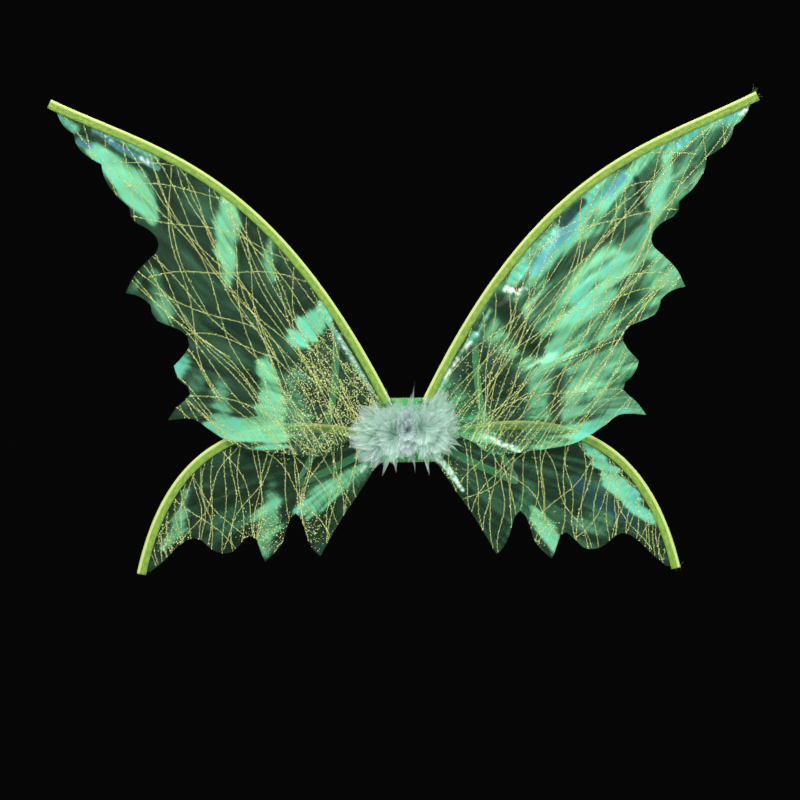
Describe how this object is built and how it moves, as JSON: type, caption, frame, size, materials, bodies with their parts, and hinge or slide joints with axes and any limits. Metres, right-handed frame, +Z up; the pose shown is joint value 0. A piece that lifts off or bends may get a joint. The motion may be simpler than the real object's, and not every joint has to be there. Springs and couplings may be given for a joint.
{
  "type": "fairy wings",
  "caption": "Child's costume fairy wings: scalloped clear iridescent film wings on satin-bound wire, tulle flower and elastic arm loops.",
  "frame": {"origin": "centre of the back pad's rear face, which rests between the wearer's shoulder blades", "axes": "+Z up; +Y out of the pad's rear face, towards the wearer; +X the wearer's right, along the wing span"},
  "size_m": [0.753, 0.1993, 0.5079],
  "materials": {
    "wing_film": "clear iridescent film printed with gold glitter lines",
    "binding_satin": "lime satin tape, folded and stitched",
    "spring_wire": "drawn steel wire",
    "glue": "clear hot-melt glue",
    "cover_satin": "green satin",
    "base_board": "stiff sheet",
    "pad_fabric": "soft knitted cover over foam",
    "elastic": "ribbed elastic",
    "tulle": "pale mint tulle",
    "thread": "sewing thread"
  },
  "bodies": {
    "back_piece": {"back_pad": "pad_fabric", "base_board": "base_board", "cover_panel": "cover_satin", "root_channel_left": "cover_satin", "arm_strap_left": "elastic", "tulle_puff_left": "tulle", "puff_tie_left": "thread", "root_channel_right": "cover_satin", "arm_strap_right": "elastic", "tulle_puff_right": "tulle", "puff_tie_right": "thread", "tulle_puff_middle": "tulle", "puff_tie_middle": "thread"},
    "left_wing": {"wing_wire_left": "spring_wire", "upper_binding_left": "binding_satin", "upper_film_left": "wing_film", "upper_tip_bead_left": "glue", "lower_binding_left": "binding_satin", "lower_film_left": "wing_film", "lower_tip_bead_left": "glue"},
    "right_wing": {"wing_wire_right": "spring_wire", "upper_binding_right": "binding_satin", "upper_film_right": "wing_film", "upper_tip_bead_right": "glue", "lower_binding_right": "binding_satin", "lower_film_right": "wing_film", "lower_tip_bead_right": "glue"}
  },
  "joints": [
    {"name": "left_wing_fold", "type": "hinge", "parent": "back_piece", "child": "left_wing", "pos_m": [-0.014, -0.0132, 0.008], "axis": [0, 0, 1], "range_deg": [-4, 70], "deforming": ["tulle_puff_left"]},
    {"name": "right_wing_fold", "type": "hinge", "parent": "back_piece", "child": "right_wing", "pos_m": [0.014, -0.0132, 0.008], "axis": [0, 0, -1], "range_deg": [-4, 70], "deforming": ["tulle_puff_right"]}
  ]
}
